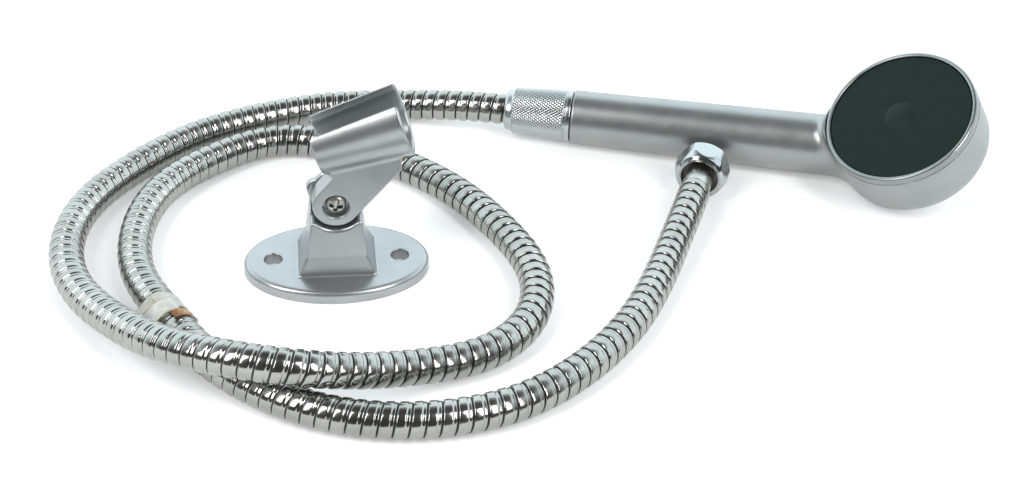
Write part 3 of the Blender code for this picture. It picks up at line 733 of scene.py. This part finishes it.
def hexagon_distance(p):
    """A hexagon nut whose corners are turned off, with a round collar where the hose comes out."""
    x, r = p[:, 0], np.hypot(p[:, 1], p[:, 2])
    flats = np.full(len(p), -1e9)
    for i in range(6):
        a = math.radians(60 * i + 30)
        flats = np.maximum(flats, p[:, 1] * math.cos(a) + p[:, 2] * math.sin(a) - HEX_ACROSS_FLATS / 2)
    outline = [
        (0.0, 0.0),
        (0.0, HEX_TURNED_R - 2.5),
        (1.0, HEX_TURNED_R - 1.3),
        (4.2, HEX_TURNED_R),
        (HEX_LENGTH - 1.6, HEX_TURNED_R),
        (HEX_LENGTH, HEX_TURNED_R - 1.1),
        (HEX_LENGTH, 0.0),
    ]
    turned = outline_distance(np.column_stack([x, r]), outline)
    lip_room = [
        (-2.0, -1.0),
        (-2.0, HEX_LIP_R),
        (HEX_LIP, HEX_LIP_R),
        (HEX_LIP, 10.0),
        (HEX_LENGTH + 2, 10.0),
        (HEX_LENGTH + 2, -1.0),
    ]
    hollow = outline_distance(np.column_stack([x, r]), lip_room)
    return smooth_common(smooth_common(flats, turned, 0.35), -hollow, 0.35)


def make_hex_end(finishes):
    box = (-0.8, -13, -13), (HEX_LENGTH + 0.8, 13, 13)
    nut = net_piece(
        "hex_coupling", hexagon_distance, *box, 0.22, HEX, finishes["chrome"], "hex_nut", "polished_chrome"
    )
    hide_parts("hex_nut")
    sleeve = [
        (FERRULE_BACK - 0.1, FERRULE_BORE_R),
        (FERRULE_BACK - 0.1, FERRULE_R - 0.1),
        (FERRULE_BACK + 0.6, FERRULE_R),
        (HEX_LIP, FERRULE_R),
        (HEX_LIP, FERRULE_BORE_R),
    ]
    ferrule = turned_piece(
        "hose_sleeve", sleeve, HEX, finishes["sleeve"], "sprayer", closed=True
    )
    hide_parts("hex_ferrule")
    return [nut, ferrule]


# --- Wall holder -----------------------------------------------------------------------------------------


def arc(centre, radius, start, end, count):
    angles = np.radians(np.linspace(start, end, count + 1))
    return [(centre[0] + radius * math.cos(a), centre[1] + radius * math.sin(a)) for a in angles]


def base_distance(p):
    """Oval plate, pedestal and the lug behind the pivot, cast as one, clear of the arm at its limits."""
    x, y, z = p[:, 0], p[:, 1], p[:, 2]
    a, b = PLATE_LENGTH / 2, PLATE_WIDTH / 2
    near = np.hypot(x / a, y / b)
    oval = near * (near - 1) / np.maximum(np.hypot(x / a**2, y / b**2), 1e-6)
    plate = smooth_common(oval, z - PLATE_THICK, 2.6)
    plate = smooth_common(plate, -z, 0.5)
    heights, xs, ys = (np.array(v) for v in zip(*PEDESTAL))
    wide, deep = np.interp(z, heights, xs), np.interp(z, heights, ys)
    foot = smooth_common(np.abs(x) - wide, np.abs(y) - deep, 1.2) * 0.96
    foot = smooth_common(foot, z - heights[-1], 1.2)
    foot = np.maximum(foot, 2.0 - z)
    left = [(-10.3, 25.0), (-10.4, 34.2), (-11.5, 38.0), (-11.5, 40.6), (-10.3, 42.4), (-8.0, 43.3)]
    lug = left + arc((0, PIVOT_Z), CHEEK_TOP_R, 127, 53, 12) + [(-u, v) for u, v in reversed(left)]
    cheek = extruded(p, lug, CHEEK_FRONT - 6, CHEEK_BACK, 1.0)
    body = smooth_union(smooth_union(plate, foot, 1.0), cheek, 0.8)
    saddle = smooth_common(np.hypot(x, z - PIVOT_Z) - SADDLE_R, y - CHEEK_FRONT, 0.6)
    body = smooth_common(body, -saddle, 1.3)
    for side in (-1, 1):
        hole = np.hypot(x - side * PLATE_HOLE_SPACING / 2, y) - PLATE_HOLE_R
        body = smooth_common(body, -hole, 0.5)
    high = z > 24
    for tilt in (TILT_MIN - 1, TILT_MAX + 1):
        body[high] = np.maximum(body[high], TILT_AIR - arm_distance(turned_back(p[high], tilt)))
    return smooth_common(body, -(np.hypot(x, z - PIVOT_Z) - PIVOT_BORE_R), 0.3)


def turned_back(p, degrees):
    """Where points lie seen from the arm once it has tilted by this much."""
    a = math.radians(degrees)
    x, z = p[:, 0], p[:, 2] - PIVOT_Z
    back_x, back_z = x * math.cos(a) - z * math.sin(a), x * math.sin(a) + z * math.cos(a)
    return np.column_stack([back_x, p[:, 1], PIVOT_Z + back_z])


def from_pivot(distance, angle, across=0.0):
    """The (x, z) point at a distance from the pivot along an angle, and then across it."""
    cos, sin = math.cos(math.radians(angle)), math.sin(math.radians(angle))
    return (distance * cos - across * sin, PIVOT_Z + distance * sin + across * cos)


def arm_distance(p):
    """Knuckle, web and the open clip that holds the handle."""
    x, y, z = p[:, 0], p[:, 1], p[:, 2]
    bar_right = from_pivot(29.5, ARM_DIRECTION, -KNUCKLE_R)
    bar_left = from_pivot(9.6, ARM_DIRECTION, KNUCKLE_R)
    top = [(26.0, 64.0), (-3.4, 56.0)]
    knuckle = arc((0, PIVOT_Z), KNUCKLE_R, ARM_DIRECTION + 90, ARM_DIRECTION + 270, 28)
    bar = extruded(p, [*knuckle, bar_right, *top, bar_left], KNUCKLE_FRONT, KNUCKLE_BACK, 0.9)
    rear_outline = [*arc((0, PIVOT_Z), ARM_CLEAR_R, 92, 12, 10), bar_right, *top]
    rear = extruded(p, rear_outline, KNUCKLE_BACK - 3, ARM_BACK, 0.9)
    web = smooth_union(bar, rear, 0.6)

    start, end = np.array(CLIP_FROM), np.array(CLIP_TO)
    length = np.linalg.norm(end - start)
    run = (end - start) / length
    along = (x - start[0]) * run[0] + (z - start[1]) * run[1]
    rise = -(x - start[0]) * run[1] + (z - start[1]) * run[0]
    r = np.hypot(rise, y)
    outer = CLIP_R[0] + (CLIP_R[1] - CLIP_R[0]) * along / length
    ends = np.abs(along - length / 2) - length / 2
    shell = smooth_common(r - outer, ends, 1.0)
    solid = smooth_union(web, shell, 1.4)
    solid = smooth_common(solid, -(r - (outer - CLIP_WALL)), 0.9)
    mouth = np.maximum(np.abs(y) - CLIP_MOUTH, 2.0 - rise)
    mouth = np.maximum(mouth, ends - 4)
    solid = smooth_common(solid, -mouth, 1.0)
    pivot = np.hypot(x, z - PIVOT_Z)
    bore = np.maximum(pivot - COUNTERBORE_R, y - (KNUCKLE_FRONT + COUNTERBORE_DEPTH))
    return smooth_common(smooth_common(solid, -bore, 0.7), -(pivot - PIVOT_BORE_R), 0.2)


SCREW_SEAT = KNUCKLE_FRONT + COUNTERBORE_DEPTH - 0.3


def cross_distance(p):
    """The cross recess in the pivot screw, narrower towards its bottom."""
    x, y, z = p[:, 0], p[:, 1], p[:, 2]
    depth = np.clip((y - (SCREW_SEAT - 2.5)) / 2.6, 0, 1)
    arm, width = 2.9 - 1.4 * depth, 0.80 - 0.3 * depth
    across, upright = (np.maximum(np.abs(u) - arm, np.abs(v) - width) for u, v in ((x, z), (z, x)))
    cross = np.minimum(across, upright)
    return np.maximum(np.minimum(cross, np.hypot(x, z) - (1.4 - 0.8 * depth)), y - (SCREW_SEAT - 0.25))


def screw_distance(p):
    """A pan head with a cross recess, round Y, its top at the lowest y."""
    y = p[:, 1]
    r = np.hypot(p[:, 0], p[:, 2])
    dome = np.sqrt(r**2 + (1.9 * (SCREW_SEAT - 0.2 - y)) ** 2) - (PIVOT_HEAD_R + 0.15)
    head = smooth_common(dome, y - SCREW_SEAT, 0.2)
    head = smooth_common(head, r - PIVOT_HEAD_R, 0.3)
    shank = np.maximum(r - PIVOT_SCREW_R, np.maximum(y - 8.2, SCREW_SEAT - 1 - y))
    return np.minimum(smooth_common(head, -cross_distance(p), 0.18), shank)


def make_holder(finishes):
    cast = finishes["cast"]
    box = (-39.5, -26.5, -1), (39.5, 26.5, 49)
    base = net_piece("wall_bracket", base_distance, *box, 0.4, HOLDER, cast, "holder_base", "cast_silver")
    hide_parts("wall_base")
    box = (-13.5, -16, 26), (34, 16, 88)
    arm = net_piece("clip_arm", arm_distance, *box, 0.45, HOLDER, cast, "holder_arm", "cast_silver")
    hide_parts("holder_arm")
    pivot = HOLDER @ placement((0, 0, PIVOT_Z), (0, SCREW_TURN, 0))
    surface = net(screw_distance, (-5, -10.5, -5), (5, 9, 5), 0.14)
    screw = net_object("pivot_cross_screw", surface, pivot, finishes["steel"], "holder_base")
    # painted shade: the faces of the cross recess take the near-black finish
    screw.data.materials.append(finishes["seam"])
    points, faces, _ = surface
    recess = np.abs(cross_distance(points[faces].mean(1))) < 0.1
    screw.data.polygons.foreach_set("material_index", recess.astype(int))
    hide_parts("pivot_screw")


# --- Setting ---------------------------------------------------------------------------------------------

FLOOR_REACH = 3.0  # metres each way
FLOOR_GLOW = 0.26
IN_FRONT_TO = -0.45  # the direction's y where the room in front begins to give way to the wall behind
BEHIND_FROM = 0.25

# Brightness of the studio by height above the horizon: (sine of the height, half the radiance, blueness).
BEHIND = (
    (0.0, 0.80, 0.08),
    (0.35, 0.95, 0.12),
    (0.72, 0.95, 0.13),
    (0.84, 0.32, 0.06),
    (0.93, 0.08, 0.0),
    (1.0, 0.05, 0.0),
)
IN_FRONT = ((0.0, 0.12, 0.0), (0.04, 0.05, 0.0), (0.60, 0.04, 0.0), (1.0, 0.07, 0.0))


def area_light(name, place, aim, size, power):
    data = bpy.data.lights.new(name, "AREA")
    data.shape = "RECTANGLE"
    data.size, data.size_y = size
    data.energy = power
    lamp = bpy.data.objects.new(name, data)
    lamp.location = place
    lamp.rotation_euler = (Vector(aim) - Vector(place)).to_track_quat("-Z", "Y").to_euler()
    bpy.context.scene.collection.objects.link(lamp)


def shade_ramp(tree, value, stops):
    """A colour ramp of (place, brightness, blueness) stops driven by a value from 0 to 1."""
    ramp = tree.nodes.new("ShaderNodeValToRGB")
    elements = ramp.color_ramp.elements
    for i, (at, shade, blue) in enumerate(stops):
        stop = elements[i] if i < 2 else elements.new(at)
        stop.position = at
        stop.color = (shade * (1 - blue), shade, shade * (1 + 0.5 * blue), 1)
    tree.links.new(value, ramp.inputs["Fac"])
    return ramp.outputs["Color"]


def make_world():
    """A studio: bright pale wall behind the object, dimmer overhead, and a dark room low down in front."""
    world = bpy.data.worlds.new("studio")
    bpy.context.scene.world = world
    world.use_nodes = True
    tree = world.node_tree
    place = tree.nodes.new("ShaderNodeTexCoord")
    split = tree.nodes.new("ShaderNodeSeparateXYZ")
    tree.links.new(place.outputs["Generated"], split.inputs["Vector"])
    behind = shade_ramp(tree, split.outputs["Z"], BEHIND)
    front = shade_ramp(tree, split.outputs["Z"], IN_FRONT)
    side = tree.nodes.new("ShaderNodeMapRange")
    side.interpolation_type = "SMOOTHSTEP"
    side.inputs["From Min"].default_value = IN_FRONT_TO
    side.inputs["From Max"].default_value = BEHIND_FROM
    tree.links.new(split.outputs["Y"], side.inputs["Value"])
    mix = tree.nodes.new("ShaderNodeMix")
    mix.data_type = "RGBA"
    tree.links.new(side.outputs["Result"], mix.inputs[0])
    sockets = [socket for socket in mix.inputs if socket.type == "RGBA"]
    tree.links.new(front, sockets[0])
    tree.links.new(behind, sockets[1])
    sky = tree.nodes["Background"]
    sky.inputs["Strength"].default_value = 2.0
    result = next(socket for socket in mix.outputs if socket.type == "RGBA")
    tree.links.new(result, sky.inputs["Color"])


def make_floor():
    made, tree, shader = nodes_of("pale_floor")
    add_tint(tree, shader, noise(tree, 3.0), (0.79, 0.79, 0.79), (0.81, 0.81, 0.81))
    shader.inputs["Emission Color"].default_value = (1, 1, 1, 1)
    shader.inputs["Emission Strength"].default_value = FLOOR_GLOW
    shader.inputs["Roughness"].default_value = 0.9
    shader.inputs["Specular IOR Level"].default_value = 0.2
    mesh = bpy.data.meshes.new("floor")
    corners = [(x * FLOOR_REACH, y * FLOOR_REACH, 0) for x, y in ((-1, -1), (1, -1), (1, 1), (-1, 1))]
    mesh.from_pydata(corners, [], [(0, 1, 2, 3)])
    mesh.materials.append(made)
    floor = bpy.data.objects.new("floor", mesh)
    bpy.context.scene.collection.objects.link(floor)


def make_setting():
    make_world()
    make_floor()
    area_light("left_key", (-1.05, -0.92, 1.28), (-0.1, 0, 0), (0.42, 1.35), 20.0)
    area_light("right_key", (0.90, -0.96, 1.24), (0.0, 0, 0), (0.42, 1.35), 18.0)
    scene = bpy.context.scene
    scene.view_settings.view_transform = "Standard"
    scene.view_settings.look = "None"
    scene.view_settings.exposure = 0.0


def finish_cad_nodes(finishes):
    """The CAD nodes that stay as they are: small inner and rear pieces."""
    # inlet_fitting and hex_hose_tail get the painted shade finish "shade"
    kept = {
        "face_screw": "steel",
        "face_seal": "rubber",
        "water_distributor": "plastic",
        "water_tube": "plastic",
        "inlet_fitting": "shade",
        "inlet_washer": "rubber",
        "handset_hose_tail": "brass",
        "hex_hose_tail": "shade",
        "hex_washer": "rubber",
        "pivot_washer": "plastic",
        "pivot_nut": "steel",
    }
    for name, finish in kept.items():
        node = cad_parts[name]
        node.data.materials.clear()
        node.data.materials.append(finishes[finish])


make_camera()
finishes = make_materials()
hose, hose_line, hose_length = make_hose(finishes)
tape = make_tie((finishes["wrap"], finishes["yellow"], finishes["brown"]))
hex_pieces = make_hex_end(finishes)
make_handset(finishes)
make_knurled_nut(finishes)
make_holder(finishes)
finish_cad_nodes(finishes)
make_setting()
